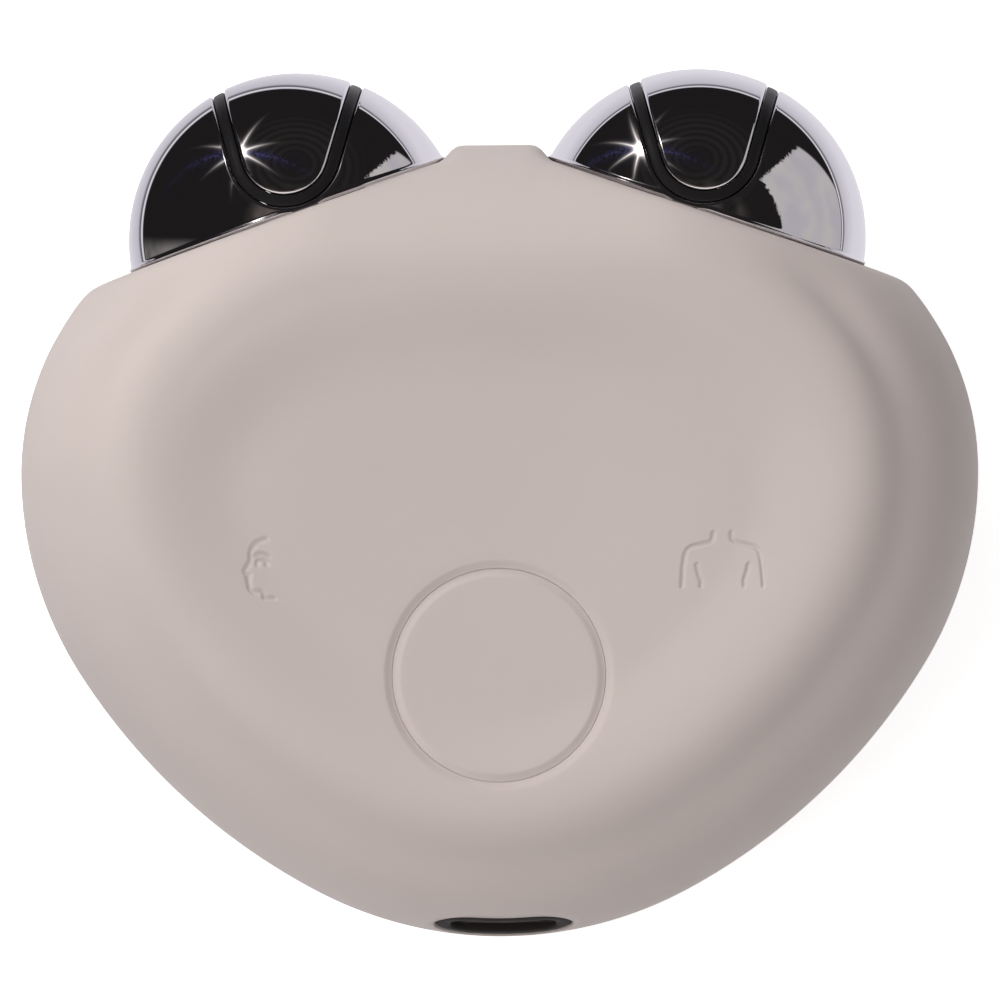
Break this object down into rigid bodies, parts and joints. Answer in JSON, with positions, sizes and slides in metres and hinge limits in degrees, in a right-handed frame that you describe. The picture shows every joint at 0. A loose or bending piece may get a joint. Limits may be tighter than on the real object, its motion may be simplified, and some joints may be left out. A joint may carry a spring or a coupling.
{
  "type": "facial toning device",
  "caption": "Palm-sized facial toning device: dished silicone casing with a round press pad, two lobed shoulders carrying split chrome dome electrodes, and a charging port at the chin.",
  "frame": {"origin": "middle of the flat on the device's back, midway between chin and crown and between the two sides", "axes": "+Z out of the front face through the press pad, +Y from the chin towards the domes, +X to the right seen from the front"},
  "size_m": [0.084, 0.0759, 0.038],
  "materials": {
    "silicone_skin": "warm greige soft-touch silicone, matte",
    "housing_abs": "moulded ABS, fine texture",
    "dome_chrome": "mirror polished",
    "black_rubber": "matte black elastomer",
    "carrier_plastic": "glass-filled nylon",
    "red_insulation": "silicone wire insulation",
    "black_insulation": "silicone wire insulation",
    "tinned_brass": "tinned, dull",
    "screw_steel": "zinc plated",
    "circuit_board": "green solder mask on glass-epoxy",
    "chip_plastic": "moulded epoxy",
    "can_aluminium": "satin can",
    "light_plastic": "white moulding",
    "clear_plastic": "clear light pipe",
    "port_steel": "nickel plated",
    "port_black": "black moulding",
    "battery_foil": "laminated pouch foil",
    "foam": "closed-cell foam pad"
  },
  "bodies": {
    "casing": {"front_skin": "silicone_skin", "rear_skin": "silicone_skin", "front_housing": "housing_abs", "rear_housing": "housing_abs", "left_dome_shell": "dome_chrome", "right_dome_shell": "dome_chrome", "left_dome_insert": "dome_chrome", "right_dome_insert": "dome_chrome", "left_dome_gasket": "black_rubber", "right_dome_gasket": "black_rubber", "left_dome_seal": "black_rubber", "right_dome_seal": "black_rubber", "left_dome_carrier": "carrier_plastic", "right_dome_carrier": "carrier_plastic", "left_shell_lead": "red_insulation", "right_shell_lead": "red_insulation", "left_insert_lead": "black_insulation", "right_insert_lead": "black_insulation", "lead_terminals": "tinned_brass", "dome_screws": "screw_steel", "board_screws": "screw_steel", "housing_screws": "screw_steel", "main_board": "circuit_board", "board_chips": "chip_plastic", "boost_transformer": "chip_plastic", "board_capacitors": "can_aluminium", "mode_lights": "light_plastic", "light_guides": "clear_plastic", "switch_body": "chip_plastic", "switch_disc": "screw_steel", "usb_shell": "port_steel", "usb_tongue": "port_black", "port_bezel": "port_black", "battery": "battery_foil", "battery_foam": "foam", "battery_socket": "light_plastic", "battery_plug": "light_plastic", "battery_lead_positive": "red_insulation", "battery_lead_negative": "black_insulation"},
    "button": {"button_cap": "silicone_skin", "button_actuator": "housing_abs", "switch_stem": "chip_plastic"}
  },
  "joints": [
    {"name": "button_press", "type": "slide", "parent": "casing", "child": "button", "axis": [0, 0, -1], "range_m": [0, 0.00035], "stiffness_N_per_m": 3000, "springref_m": -0.0002}
  ]
}
